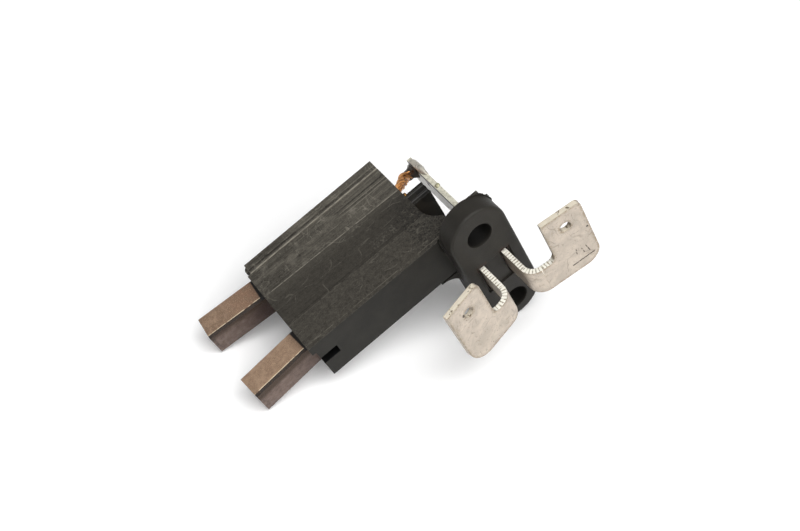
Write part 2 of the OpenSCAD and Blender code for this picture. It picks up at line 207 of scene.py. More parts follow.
class StageSizes(bpy.types.PropertyGroup):
    """Camera, lights and floor."""

    lens: FloatProperty(name="Lens", description="Focal length in millimetres", default=62.8)
    place: FloatVectorProperty(name="Camera", description="Place of the camera", size=3,
                               default=(-0.02501, -0.11391, 0.15771), unit="LENGTH", precision=5)
    gaze: FloatVectorProperty(name="Gaze", description="Direction of the camera's view", size=3,
                              default=(0.0750, 0.6210, -0.7802))
    roll: FloatProperty(name="Roll", description="Roll of the camera against the floor",
                        default=math.radians(-2.3), subtype="ANGLE")
    floor_size: length("Floor", "Side of the floor", 1500)
    key: FloatProperty(name="Key", description="Strength of the high light", default=0.72)
    side: FloatProperty(name="Side", description="Strength of the light to the right", default=0.30)
    fill: FloatProperty(name="Fill", description="Strength of the low light in front", default=0.55)
    sky: FloatProperty(name="Sky", description="Strength of the even light all round", default=0.14)
    shine: FloatProperty(name="Shine", description="Strength of the surroundings in reflections",
                         default=0.45)
    glow: FloatProperty(name="Glow", description="Light of its own that the floor shows", default=0.09)


# ---------------------------------------------------------------- shader helpers


class Nodes:
    """Short ways to add and join shader nodes in one node tree."""

    def __init__(self, tree):
        self.tree = tree

    def add(self, kind, inputs=None, **settings):
        """A new node with its settings and with values or links for its inputs."""
        made = self.tree.nodes.new("ShaderNode" + kind)
        for name, value in settings.items():
            setattr(made, name, value)
        for key, value in (inputs or {}).items():
            self.feed(made.inputs[key], value)
        return made

    def feed(self, socket, value):
        """Links another node's output to a socket, or sets its value."""
        if isinstance(value, bpy.types.NodeSocket):
            self.tree.links.new(value, socket)
        elif socket.type == "RGBA" and len(value) == 3:
            socket.default_value = (*value, 1.0)
        else:
            socket.default_value = value

    def math(self, operation, a, b=0.0, c=0.0, clamp=False):
        """One sum on up to three values."""
        return self.add("Math", {0: a, 1: b, 2: c}, operation=operation, use_clamp=clamp).outputs[0]

    def total(self, *terms, plus=0.0):
        """Sum of value times weight over the terms."""
        result = plus
        for value, weight in terms:
            result = self.math("MULTIPLY_ADD", value, weight, result)
        return result

    def times(self, *values):
        """Product of the values."""
        result = values[0]
        for value in values[1:]:
            result = self.math("MULTIPLY", result, value)
        return result

    def step(self, value, low, high):
        """0 below low and 1 above high, smooth between them; low may be the larger."""
        return self.add("MapRange", {"Value": value, "From Min": low, "From Max": high},
                        interpolation_type="SMOOTHSTEP").outputs["Result"]

    def stripe(self, value, centre, half, soft):
        """1 within half of the centre, falling to 0 over soft."""
        away = self.math("ABSOLUTE", self.math("SUBTRACT", value, centre))
        return self.step(away, half + soft, half)

    def mix(self, factor, a, b):
        """Colour a where the factor is 0 and b where it is 1."""
        made = self.add("Mix", {}, data_type="RGBA")
        self.feed(made.inputs[0], factor)
        self.feed(made.inputs[6], a)
        self.feed(made.inputs[7], b)
        return made.outputs[2]

    def blend(self, factor, a, b):
        """Value a where the factor is 0 and b where it is 1."""
        made = self.add("Mix", {}, data_type="FLOAT")
        for socket, value in zip((made.inputs[0], made.inputs[2], made.inputs[3]), (factor, a, b)):
            self.feed(socket, value)
        return made.outputs[0]


class Finish(Nodes):
    """A procedural material that is put together node by node, in millimetres."""

    def __init__(self, name):
        self.material = bpy.data.materials.new(name)
        self.material.use_nodes = True
        super().__init__(self.material.node_tree)
        self.tree.nodes.clear()
        self.output = self.add("OutputMaterial")
        self.shader = self.add("BsdfPrincipled")
        self.tree.links.new(self.shader.outputs[0], self.output.inputs[0])
        coordinates = self.add("TexCoord").outputs
        self.place = self.add("Mapping", {"Vector": coordinates["Object"],
                                          "Scale": (1 / MM, 1 / MM, 1 / MM)}).outputs[0]
        self.x, self.y, self.z = self.add("SeparateXYZ", {0: self.place}).outputs
        self.nx, self.ny, self.nz = self.add("SeparateXYZ", {0: coordinates["Normal"]}).outputs

    def stretched(self, scale, turn=0.0):
        """Coordinates scaled by axis and turned about z, for long or slanted patterns."""
        return self.add("Mapping", {"Vector": self.place, "Scale": scale,
                                    "Rotation": (0, 0, turn)}).outputs[0]

    def grain(self, scale, detail=2.0, rough=0.5, where=None, twist=0.0):
        """Noise from 0 to 1; a scale of 1 has patches of about a millimetre."""
        return self.add("TexNoise", {"Vector": where or self.place, "Scale": scale, "Detail": detail,
                                     "Roughness": rough, "Distortion": twist}).outputs["Fac"]

    def cell_borders(self, scale, where):
        """Distance to the nearest border between random cells."""
        return self.add("TexVoronoi", {"Vector": where, "Scale": scale},
                        feature="DISTANCE_TO_EDGE").outputs["Distance"]

    def curved_scratches(self, scale, width, stretch, turn):
        """Sparse thin curves along the borders of bent cells."""
        bent = self.add("TexNoise", {"Vector": self.place, "Scale": 0.35, "Detail": 1.0}).outputs["Color"]
        near = self.add("VectorMath", {0: bent, 1: (1.6, 1.6, 1.6), 2: self.stretched(stretch, turn)},
                        operation="MULTIPLY_ADD").outputs[0]
        thin = self.step(self.cell_borders(scale, near), width, width * 0.3)
        return self.times(thin, self.step(self.grain(0.5, 3, 0.6), 0.47, 0.60))

    def dash(self, x0, z0, x1, z1, half):
        """1 along a straight mark between two points in x and z."""
        reach = math.hypot(x1 - x0, z1 - z0)
        ux, uz = (x1 - x0) / reach, (z1 - z0) / reach
        forth = self.total((self.x, ux), (self.z, uz), plus=-x0 * ux - z0 * uz)
        aside = self.total((self.x, -uz), (self.z, ux), plus=x0 * uz - z0 * ux)
        return self.times(self.stripe(forth, reach / 2, reach / 2, 0.08),
                          self.stripe(aside, 0.0, half, 0.06))

    def rounded(self, radius):
        """The normal with edges rounded to a radius in millimetres, and how close an edge is."""
        soft = self.add("Bevel", {"Radius": radius * MM}, samples=4).outputs[0]
        flat = self.add("NewGeometry").outputs["Normal"]
        close = self.add("VectorMath", {0: soft, 1: flat}, operation="DOT_PRODUCT").outputs["Value"]
        return soft, self.step(close, 0.99, 0.85)

    def bump(self, height, depth, normal=None):
        """Surface relief; depth is in millimetres for a height of 1."""
        made = self.add("Bump", {"Height": height, "Strength": 1.0, "Distance": depth * MM})
        if normal:
            self.feed(made.inputs["Normal"], normal)
        return made.outputs[0]

    def finish(self, **sockets):
        """Feeds the shader's sockets, named as in the editor, and returns the material."""
        for name, value in sockets.items():
            self.feed(self.shader.inputs[name.replace("_", " ").title().replace("Ior", "IOR")], value)
        return self.material


# ---------------------------------------------------------------- finishes


# Where a terminal's bend starts, below y = 0, and the distance between the nicks in its edge
BEND_START = 4.3
NICK_PITCH = 0.48
# Scratches and a dent on the tabs' faces: x and z of both ends and half the width
TAB_MARKS = ((7.73, -1.22, 11.31, -1.11, 0.085), (11.7, 4.62, 11.9, 4.66, 0.14),
             (9.03, 1.58, 8.90, 0.53, 0.03), (9.77, 1.25, 9.98, -0.06, 0.03),
             (10.50, 1.23, 10.76, -0.40, 0.03), (-9.2, 7.5, -9.0, 7.8, 0.16))
# Borders of the smooth middle of the holder's top: y at the front and at the rear end
FAR_BORDER = (15.35, 14.75)
NEAR_BORDER = (8.45, 8.25)
# Lengthwise lines on the top: y at the front and at the rear end, half width, weight in the tone
# (light above 0), height of the relief and where the line shows. The light lines on the rail, with a
# weight of 0.75, are painted highlights along its edges.
TOP_LINES = ((*FAR_BORDER, 0.06, 0.65, 0.0, "broken"), (*NEAR_BORDER, 0.05, 0.22, 0.0, "broken"),
             (21.45, 21.40, 0.06, 0.35, 0.0, "broken"), (3.75, 3.60, 0.03, 0.45, 0.0, "broken"),
             (8.90, 8.80, 0.08, -0.07, 0.0, "all"), (21.25, 21.10, 0.16, -0.27, -0.7, "all"),
             (18.85, 18.80, 0.09, -0.32, -1.2, "rear"), (18.05, 18.00, 0.07, -0.15, 0.0, "rear"),
             (18.45, 18.20, 0.03, 0.75, 0.0, "rear"), (17.75, 17.65, 0.04, 0.75, 0.0, "rear"))


def colours():
    """The colours of the finishes."""
    return bpy.context.scene.finish_colours


def past_line(f, front, rear):
    """How far y lies past a lengthwise line on the top."""
    size = bpy.context.scene.channel_sizes
    slope = (rear - front) * MM / size.body
    return f.math("SUBTRACT", f.y, f.math("MULTIPLY_ADD", f.x, slope, front - size.front / MM * slope))


def top_wear(f, cloud, mottle, speck, broken):
    """Tone of the holder's top, 0 for plain moulding and 1 for fully scuffed, with painted highlight lines on
    the rail, and its relief.
    """
    near_border, far_border = past_line(f, *NEAR_BORDER), past_line(f, *FAR_BORDER)
    far_zone = f.step(far_border, -0.05, 0.05)
    near_zone = f.step(near_border, 0.05, -0.05)
    middle = f.math("SUBTRACT", 1.0, f.math("MAXIMUM", far_zone, near_zone))
    rear = f.step(f.x, -13.5, -9.5)
    streaks = f.grain(1.0, 5, 0.65, f.stretched((0.12, 4.0, 1.0)))
    fine = f.grain(1.0, 3, 0.65, f.stretched((0.7, 16.0, 1.0)))
    drawn = f.math("MULTIPLY_ADD", far_zone, 0.20, 0.07)
    even = f.blend(middle, 1.0, 0.55)
    tone = f.total((f.times(f.step(streaks, 0.30, 0.75), drawn), 1.0), (middle, 0.07),
                   (f.times(f.step(fine, 0.35, 0.75), drawn), 0.7),
                   (f.times(mottle, even), 0.44),
                   (f.times(f.step(f.grain(4.5, 4, 0.8), 0.4, 0.7), even), 0.20),
                   (f.times(f.step(cloud, 0.48, 0.68), far_zone, f.step(f.x, -7.0, -10.0)), 0.24))
    tone = f.total((tone, 1.25), (f.times(middle, f.step(f.x, -12.0, -4.5)), -0.03),
                   (f.times(far_zone, f.step(f.x, -17.5, -21.0)), -0.10), (f.times(far_zone, rear), 0.07),
                   (f.times(middle, f.step(far_border, -2.4, 0.0)), 0.13), plus=-0.22)
    hairs = f.curved_scratches(0.33, 0.026, (0.5, 1.3, 1.0), 0.25)
    nicks = f.curved_scratches(0.60, 0.034, (1.5, 0.45, 1.0), -0.5)
    torn = f.times(f.step(f.x, -8.5, -6.0), f.step(f.y, 12.6, 10.5))
    chips = f.times(f.step(f.grain(4.2, 4, 0.75), 0.57, 0.66), torn)
    pits = f.times(f.step(f.grain(3.4, 3, 0.7), 0.46, 0.38), torn)
    patch = f.times(f.stripe(f.x, -9.7, 1.9, 0.25), f.stripe(f.y, 9.8, 0.75, 0.2),
                    f.step(f.grain(2.6, 4, 0.8), 0.48, 0.60))
    tone = f.total((tone, 1.0), (hairs, 0.28), (f.times(nicks, far_zone), 0.40), (chips, 0.75),
                   (pits, -0.30), (patch, 0.30), (f.step(speck, 0.68, 0.76), 0.16),
                   (f.step(speck, 0.34, 0.26), -0.12))
    relief = f.total((streaks, 0.8), (fine, 0.5), (hairs, -0.5), (nicks, -0.5), (chips, 1.4),
                     (pits, -1.4), (patch, 0.9), (far_zone, 0.7), (near_zone, 0.6))
    shown = {"all": 1.0, "rear": rear, "broken": broken}
    for front, back, half, weight, height, where in TOP_LINES:
        mark = f.times(f.stripe(past_line(f, front, back), 0.0, half, 0.05), shown[where])
        tone = f.total((tone, 1.0), (mark, weight))
        relief = f.total((relief, 1.0), (mark, height))
    return tone, relief


def plain_moulding(f, top):
    """Colour of the unworn moulding: sides, flange painted lighter as sheen, top, and painted shade in the
    depths of the mounting holes.
    """
    c = colours()
    size = bpy.context.scene.holder_sizes
    # The flange and its boss are painted lighter, as painted sheen.
    flange = f.times(f.step(f.x, -5.2, -4.6), f.step(f.y, 5.8, 5.6))
    plain = f.mix(f.times(flange, 0.8), c.moulding_side, c.moulding_flange_sheen)
    plain = f.mix(top, plain, f.mix(f.step(f.x, -9.0, -4.0), c.moulding, c.moulding_neck))
    rise = size.hole_rise / MM
    across = f.math("SUBTRACT", f.math("ABSOLUTE", f.z), rise)
    reach = f.math("SQRT", f.total((f.times(f.x, f.x), 1.0), (f.times(across, across), 1.0)))
    radius = size.hole_radius / MM
    # Painted shade: the depths of the mounting holes are darkened towards black.
    hole = f.times(f.step(reach, radius + 0.10, radius + 0.02), f.step(f.y, 0.15, 0.6))
    return f.mix(f.times(hole, 0.75), plain, c.recess_shade)


def moulding_finish():
    """Black moulding compound: a warm, scratched top in lengthwise zones and smooth, darker sides."""
    f = Finish("moulding")
    c = colours()
    size = bpy.context.scene.holder_sizes
    wall, high, groove = size.wall / MM, size.top / MM, size.groove / MM
    softened, edge = f.rounded(0.16)
    top = f.times(f.step(f.nz, 0.55, 0.85), f.step(f.z, high - 0.9, high - 0.5),
                  f.step(f.y, wall - 0.1, wall + 0.1))
    cloud = f.grain(0.30, 4, 0.6, twist=0.6)
    mottle = f.grain(1.6, 4, 0.7)
    speck = f.grain(6.0, 3, 0.7)
    broken = f.step(f.grain(0.9, 3, 0.6), 0.36, 0.56)
    top_tone, relief = top_wear(f, cloud, mottle, speck, broken)
    side_tone = f.total((f.step(cloud, 0.35, 0.7), 0.030), (f.step(speck, 0.70, 0.78), 0.03),
                        (f.step(f.grain(0.22, 2), 0.4, 0.65), 0.025))
    # Edges lightened partly by wear and partly as painted highlight, more on the top.
    wear_and_highlight = f.times(edge, f.step(f.grain(3.5, 3, 0.7), 0.42, 0.60))
    tone = f.math("ADD", f.blend(top, side_tone, top_tone), f.times(wear_and_highlight, f.blend(top, 0.10, 0.50)),
                  clamp=True)
    base = f.mix(tone, plain_moulding(f, top), c.scuff)
    # Painted highlight: a bright broken line along the groove beside the rail.
    rubbed = f.times(f.stripe(f.y, groove, 0.20, 0.06), f.step(f.z, high - 0.9, high - 0.6),
                     f.step(f.x, -3.3, -3.5), f.blend(broken, 0.55, 0.95))
    base = f.mix(rubbed, base, c.rubbed)
    slots = f.times(f.stripe(f.math("ABSOLUTE", f.x), size.slot / MM, 0.6, 0.5), f.step(f.y, 0.5, 0.2),
                    f.stripe(f.z, size.slot_rise / MM, 0.5, 0.5), f.step(f.grain(1.5, 3), 0.35, 0.6))
    base = f.mix(slots, base, c.slot_flux)
    rise = bpy.context.scene.channel_sizes.rise / MM
    inside = f.math("SUBTRACT", 1.0, f.math("MAXIMUM", f.math("ABSOLUTE", f.nx), f.math("ABSOLUTE", f.nz)))
    # Painted shade: the inside of the notch beside the near brush is painted near black.
    notch = f.times(f.step(f.x, -24.0, -24.25), f.stripe(f.z, rise, 0.85, 0.02),
                    f.step(f.y, wall + 0.02, wall + 0.06), f.step(inside, 0.9, 0.5))
    base = f.mix(notch, base, c.recess_shade)
    height = f.total((f.times(relief, top), 1.0), (f.grain(9.0, 3, 0.6), 0.30))
    divider = f.times(f.step(f.x, -3.5, -3.4), f.step(f.y, 11.0, 11.3), f.step(f.nz, 0.2, 0.5))
    rough = f.blend(top, f.total((mottle, 0.12), (cloud, 0.08), plus=0.40), f.total((mottle, 0.2), plus=0.50))
    return f.finish(base_color=base, roughness=f.blend(divider, rough, 0.16),
                    specular_ior_level=f.blend(top, 0.20, 0.26),
                    normal=f.bump(height, 0.055, normal=softened))


def brush_finish(side):
    """Copper-graphite: golden speckled top with a painted highlight along its upper edge, a crumbled chamfer
    painted near black as a dark reflection, mauve-grey pressed sides and painted shade at the mouth.
    """
    f = Finish("carbon_" + ("near" if side < 0 else "far"))
    c = colours()
    size = bpy.context.scene.channel_sizes
    sine, cosine = math.sin(side * size.splay), math.cos(size.splay)
    from_x = f.math("SUBTRACT", f.x, size.front / MM)
    from_y = f.math("SUBTRACT", f.y, (size.middle + side * size.pitch / 2) / MM)
    across = f.total((from_x, sine), (from_y, cosine))
    inward = f.total((from_x, cosine), (from_y, -sine))
    softened, edge = f.rounded(0.10)
    upward = f.step(f.nz, 0.80, 0.95)
    bevelled = f.times(f.step(f.nz, 0.35, 0.5), f.step(f.nz, 0.9, 0.8))
    speckle = f.grain(7.0, 5, 0.8)
    sparkle = f.grain(11.0, 3, 0.8)
    coarse = f.grain(1.1, 4, 0.6)
    drag = f.grain(1.0, 4, 0.7, f.stretched((0.8, 5.0, 5.0)))
    top = f.mix(f.step(coarse, 0.35, 0.7), c.carbon, c.carbon_light)
    if side > 0:
        heated = f.times(f.step(inward, -7.5, -3.0), f.step(coarse, 0.35, 0.6), 0.6)
        top = f.mix(heated, top, c.carbon_heated)
    top = f.mix(f.times(f.step(sparkle, 0.54, 0.66), 0.85), top, c.carbon_fleck)
    top = f.mix(f.times(f.step(speckle, 0.47, 0.32), 0.65), top, c.carbon_pit)
    # Painted highlight: a bright line along the brush's upper edge.
    lip_highlight = f.stripe(across, -1.61, 0.05, 0.04)
    top = f.mix(f.times(lip_highlight, f.step(f.grain(1.4, 2), 0.34, 0.5)), top, c.carbon_lip_highlight)
    flank = f.mix(f.step(coarse, 0.35, 0.7), c.carbon_dark, c.carbon_side)
    flank = f.mix(f.times(f.step(drag, 0.5, 0.75), 0.35), flank, c.carbon_drag)
    shade = f.step(inward, -6.5, -1.0)
    flank = f.mix(f.times(shade, 0.85 if side > 0 else 0.4), flank, c.carbon_shade)
    tip = f.step(inward, -9.2, -10.2)
    low = f.step(f.z, 4.6, 3.5)
    chip = f.times(f.step(f.grain(1.5, 4, 0.75), 0.52, 0.56),
                   f.math("MAXIMUM", low, f.math("MAXIMUM", tip, 0.15)))
    flank = f.mix(f.times(chip, 0.85), flank, c.carbon_chip)
    band = f.step(f.z, *((6.15, 6.85) if side < 0 else (6.35, 7.5)))
    flank = f.mix(f.times(band, 0.95), flank, c.carbon_band)
    top = f.mix(0.10, top, c.carbon_fleck if side < 0 else c.carbon_dull)
    tone = f.mix(upward, flank, top)
    # Chamfer: near black as a painted dark reflection, with crumbled lighter grains.
    crumb = f.mix(f.step(speckle, 0.5, 0.68), c.crumb, c.crumb_light)
    tone = f.mix(f.times(bevelled, 0.92), tone, crumb)
    # Painted shade: near black inside the channel and in a line on the top just outside the mouth.
    tone = f.mix(f.step(inward, 0.1, 0.5), tone, c.mouth_shade)
    tone = f.mix(f.times(f.step(inward, -1.15, -0.95), f.step(f.nz, 0.3, 0.5)), tone, c.mouth_shade)
    # Edges lightened partly by wear and partly as painted highlight.
    worn_and_highlight = f.times(edge, f.step(f.grain(3.0, 3, 0.7), 0.5, 0.62), f.math("SUBTRACT", 1.0, upward), 0.5)
    tone = f.mix(worn_and_highlight, tone, c.carbon_worn_highlight)
    height = f.total((speckle, 0.6), (chip, -2.0), (drag, 0.5), (f.times(bevelled, speckle), 1.2))
    return f.finish(base_color=tone, roughness=f.total((speckle, 0.25), plus=0.36), metallic=0.35,
                    normal=f.bump(height, 0.05, normal=softened))


def tab_marks(f):
    """Broken scratches and dents on the tabs' outer faces."""
    marks = [f.dash(*mark) for mark in TAB_MARKS]
    widest = marks[0]
    for mark in marks[1:]:
        widest = f.math("MAXIMUM", widest, mark)
    return f.times(widest, f.step(f.y, -6.2, -6.6), f.step(f.grain(3.0, 3, 0.7), 0.36, 0.50))


def sheared_edge(f, small, rim, behind):
    """Colour of the sheet's upper edges, painted bright as painted reflection: nicked from the slot to the
    bend, dirty on the tabs.
    """
    c = colours()
    size = bpy.context.scene.holder_sizes
    bend = (size.slot + size.bend) / MM
    out = f.math("ABSOLUTE", f.x)
    turned = f.math("ARCTAN2", f.math("ADD", f.y, BEND_START), f.math("SUBTRACT", out, bend))
    along = f.blend(f.step(out, bend - 0.03, bend + 0.01), f.math("MULTIPLY", turned, size.bend / MM), out)
    along = f.blend(f.step(f.y, -BEND_START - 0.02, -BEND_START + 0.02), along, f.y)
    nicks = f.math("SINE", f.math("MULTIPLY", along, math.tau / NICK_PITCH))
    nicks = f.total((nicks, 0.5), (small, 2.0), (f.step(f.y, 0.0, 1.0), -3.0),
                    (f.step(out, 6.0, 6.9), -3.0))
    edge = f.mix(f.step(nicks, 1.15, 1.6), c.tin_edge_reflection, c.tin_nick)
    tab = f.mix(f.step(rim, 0.05, 0.4), c.tab_edge, c.tab_border)
    tab = f.mix(f.step(f.grain(1.1, 3, 0.7), 0.60, 0.64), tab, c.tab_dirt)
    edge = f.mix(f.step(f.z, 4.0, 5.0), edge, tab)
    return f.mix(behind, edge, f.mix(f.step(small, 0.40, 0.60), c.tail_dark, c.tail_light))


def tin_finish():
    """Dull tinned sheet: stained borders, fine cracks, dark specks, bright nicked sheared edges and
    near-white tail sides painted as reflection, and a painted shade line under the tail's upper edge.
    """
    f = Finish("tinned_sheet")
    c = colours()
    softened, rim = f.rounded(0.16)
    border = f.rounded(0.9)[1]
    cloud = f.grain(0.45, 4, 0.6, twist=0.4)
    small = f.grain(2.2, 4, 0.75)
    fine = f.grain(1.0, 4, 0.6, f.stretched((3.0, 3.0, 0.6)))
    cracks = f.curved_scratches(0.42, 0.030, (1.0, 1.0, 0.7), 0.2)
    specks = f.step(f.grain(3.2, 3, 0.75), 0.655, 0.69)
    stain = f.times(f.step(border, 0.0, 0.35), f.step(small, 0.42, 0.52))
    mark = tab_marks(f)
    faces_up = f.step(f.nz, 0.5, 0.9)
    behind = f.step(f.y, 5.0, 6.0)
    darker, lighter, dull = (tuple(v * share for v in c.tin) for share in (0.88, 1.16, 0.62))
    tone = f.mix(f.step(cloud, 0.3, 0.7), darker, lighter)
    tone = f.mix(f.times(f.step(small, 0.46, 0.32), 0.45), tone, dull)
    tone = f.mix(f.times(stain, 0.85), tone, c.tin_stain)
    tone = f.mix(f.times(f.step(f.grain(0.9, 5, 0.8), 0.56, 0.66), 0.45), tone, c.tin_smudge)
    tone = f.mix(f.times(cracks, 0.30), tone, c.tin_crack)
    tone = f.mix(f.times(specks, 0.85), tone, c.tin_speck)
    tone = f.mix(mark, tone, c.tin_mark)
    # Painted reflection: the tail's sides are near white, with clouds.
    face = f.mix(f.times(f.step(small, 0.50, 0.62), 0.4), c.tail_side_reflection, c.tail_cloud)
    # Painted shade: a dark line under the tail's upper edge; the specks below are burnt flux.
    seam_shade = f.stripe(f.z, 1.66, 0.40, 0.08)
    burn = f.times(f.stripe(f.y, 19.6, 0.4, 0.1), f.stripe(f.z, 0.35, 0.65, 0.2), f.step(small, 0.40, 0.46))
    tone = f.mix(behind, tone, f.mix(f.math("MAXIMUM", seam_shade, burn), face, c.tail_shade_and_burn))
    tone = f.mix(faces_up, tone, sheared_edge(f, small, rim, behind))
    height = f.total((fine, 0.6), (cracks, -0.8), (specks, -0.8), (small, 0.8), (stain, 0.5), (mark, -1.5))
    rough = f.total((small, 0.22), (f.step(fine, 0.3, 0.7), 0.08), plus=0.28)
    # The upper edges and the tail are nearly non-metallic, so that their painted reflection shows as colour.
    metal = f.blend(f.math("MAXIMUM", faces_up, behind), 0.75, 0.10)
    return f.finish(base_color=tone, roughness=rough, metallic=metal,
                    normal=f.bump(height, 0.04, normal=softened))


def wire_finish(name, tone, dark, rough):
    """Drawn wire with a little tarnish."""
    f = Finish(name)
    tarnish = f.step(f.grain(1.6, 4, 0.7), 0.42, 0.62)
    return f.finish(base_color=f.mix(tarnish, tone, dark), metallic=0.85, roughness=rough,
                    normal=f.bump(f.grain(14.0, 2), 0.01))


def solder_finish():
    """Dull grey solder: upper faces painted pale as painted light, painted shade on the side towards the
    strip, and stained dark brown by flux underneath.
    """
    f = Finish("solder")
    c = colours()
    uneven = f.grain(2.2, 3, 0.6)
    tone = f.mix(f.step(uneven, 0.35, 0.7), c.solder, tuple(v * 1.5 for v in c.solder))
    # Painted light: the upper faces of the cap are painted paler.
    above = f.times(f.step(f.nz, 0.05, 0.5), f.step(f.y, 15.0, 16.0), f.step(f.x, 1.50, 1.62))
    pale = f.mix(f.step(f.y, 20.5, 18.5), c.solder_lit, c.solder_film)
    tone = f.mix(above, tone, pale)
    stain = f.step(f.grain(0.9, 4, 0.65), 0.50, 0.62)
    tone = f.mix(f.times(stain, f.step(f.nz, 0.4, 0.1), 0.9), tone, c.flux)
    # Painted shade on the solder's side towards the strip.
    shaded = f.times(f.step(f.x, 1.62, 1.50), f.step(f.y, 24.2, 23.6), f.step(f.y, 19.0, 20.0))
    tone = f.mix(f.times(shaded, 0.92), tone, c.solder_shade)
    return f.finish(base_color=tone, metallic=0.5, roughness=f.blend(stain, 0.36, 0.24),
                    normal=f.bump(f.grain(2.2, 4, 0.6), 0.12))


# ---------------------------------------------------------------- mesh helpers


def new_piece(name, build):
    """A mesh piece at the origin from a bmesh that build fills."""
    mesh = bpy.data.meshes.new(name)
    shape = bmesh.new()
    build(shape)
    bmesh.ops.recalc_face_normals(shape, faces=shape.faces)
    shape.to_mesh(mesh)
    shape.free()
    piece = bpy.data.objects.new(name, mesh)
    bpy.context.scene.collection.objects.link(piece)
    return piece


def dress(piece, material, smooth=True):
    """Gives a piece its material, and smooth shading unless its mesh has flat faces."""
    piece.data.materials.clear()
    piece.data.materials.append(material)
    if smooth:
        for face in piece.data.polygons:
            face.use_smooth = True


def directions(points):
    """Direction of the curve at each of its points."""
    last = len(points) - 1
    return [(points[min(i + 1, last)] - points[max(i - 1, 0)]).normalized() for i in range(last + 1)]


def sweep(shape, points, radius, sides):
    """Adds a closed tube along the points by bridging a circle from ring to ring."""
    ahead = directions(points)
    side = ahead[0].orthogonal().normalized()
    ring = None
    for i, (point, axis) in enumerate(zip(points, ahead)):
        side = (side - axis * side.dot(axis)).normalized()
        place = Matrix((side, axis.cross(side), axis)).transposed().to_4x4()
        place.translation = point
        made = bmesh.ops.create_circle(shape, segments=sides, radius=radius, matrix=place,
                                       cap_ends=i in (0, len(points) - 1))
        edges = list({e for v in made["verts"] for e in v.link_edges
                      if all(w in made["verts"] for w in e.verts)})
        if ring:
            bmesh.ops.bridge_loops(shape, edges=ring + edges)
        ring = edges


def smooth_route(points, steps):
    """Catmull-Rom curve through the points."""
    last = len(points) - 1
    curve = []
    for i in range(last):
        a, b, c, d = points[max(i - 1, 0)], points[i], points[i + 1], points[min(i + 2, last)]
        for k in range(steps):
            t = k / steps
            curve.append(0.5 * (2 * b + (c - a) * t + (2 * a - 5 * b + 4 * c - d) * t ** 2
                                + (3 * b - a - 3 * c + d) * t ** 3))
    return curve + [points[last]]


# ---------------------------------------------------------------- places


SIDES = {"near": -1, "far": 1}
# Lumps of solder over the outer terminal's tail, and a bead of flux: centre and radii in millimetres
CAP_LUMPS = (((1.98, 23.25, 1.35), (0.72, 1.30, 1.25)), ((2.10, 21.9, 1.72), (0.60, 2.3, 0.92)),
             ((2.05, 17.0, 2.0), (0.45, 0.42, 0.32)))
FLUX_BEAD = ((-3.3, 14.1, 8.45), (0.30, 0.38, 0.34))


def channel_point(side, x, y=0.0, z=0.0):
    """A place in a channel: x inwards from the mouth along its centre line, y across, z up."""
    channel = bpy.context.scene.channel_sizes
    mouth = Vector((channel.front, channel.middle + side * channel.pitch / 2, channel.rise))
    return mouth + Matrix.Rotation(-side * channel.splay, 3, "Z") @ Vector((x, y, z))


def floor_plane():
    """Point and normal of the floor: the holder lies on its brushes' tips and its flange's foot."""
    brush_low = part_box("brush_near")[0]
    tip = Vector((brush_low[0], 0, brush_low[2]))
    low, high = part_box("holder")
    radius = high[0]
    foot = Vector((0, 0, low[2] + radius))
    reach = foot - tip
    lean = math.atan2(-reach.z, reach.x) + math.asin(radius / reach.length)
    return tip, Vector((math.sin(lean), 0, math.cos(lean)))


# ---------------------------------------------------------------- operators


# Lamps: height above the floor and bearing in degrees, and diameter in metres
LAMPS = {"key": (66, 235, 1.5), "side": (58, 304, 0.9), "fill": (30, 265, 1.3)}
LAMP_DISTANCE = 1.5
# Power of a lamp 1 m away that gives a white surface a brightness of 1
LAMP_POWER = 3.2 * math.pi


class SharedOptions:
    """Options that every operator here has."""

    bl_options = {"REGISTER", "UNDO"}


class BRUSHSET_OT_holder(SharedOptions, bpy.types.Operator):
    """Finish the moulded holder"""

    bl_idname = "brushset.holder"
    bl_label = "Holder"

    def flash(self, shape):
        """Thin jagged flash where the flange's front part meets the slab behind it."""
        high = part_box("holder")[1]
        radius = high[0]
        top = high[2] - radius
        ragged, level, steps = 40, 110, 150
        made = bmesh.ops.create_grid(shape, x_segments=steps, y_segments=1, size=1.0)
        columns = sorted({round(v.co.x, 5) for v in made["verts"]})
        for v in made["verts"]:
            k = columns.index(round(v.co.x, 5))
            turn = math.radians(4 + 176 * min(k / level, 1))
            fall = max(0, k - level) / (steps - level) * 8.5 * MM
            torn = noise.noise(Vector((k * 0.33, 3.1, 0))) + 0.6 * noise.noise(Vector((k * 0.9, 7.7, 0)))
            if k < ragged:
                tall = (0.22 + 0.28 * torn) * min(1, k / 4, (ragged - k) / 5)
            elif k > level - 6:
                tall = 0.13 + 0.05 * torn
            else:
                tall = -0.05 + 0.05 * torn
            away = radius + tall * MM if v.co.y > 0 else radius - 0.15 * MM
            v.co = Vector((away * math.cos(turn), 2.95 * MM, top + away * math.sin(turn) - fall))
        bulk = bmesh.ops.extrude_face_region(shape, geom=shape.faces[:])
        moved = [v for v in bulk["geom"] if isinstance(v, bmesh.types.BMVert)]
        bmesh.ops.translate(shape, verts=moved, vec=(0, 0.13 * MM, 0))

    def execute(self, context):
        moulding = moulding_finish()
        dress(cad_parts["holder"], moulding, smooth=False)
        flash = new_piece("mould_flash", self.flash)
        dress(flash, moulding, smooth=False)
        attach(flash, "holder")
        return {"FINISHED"}


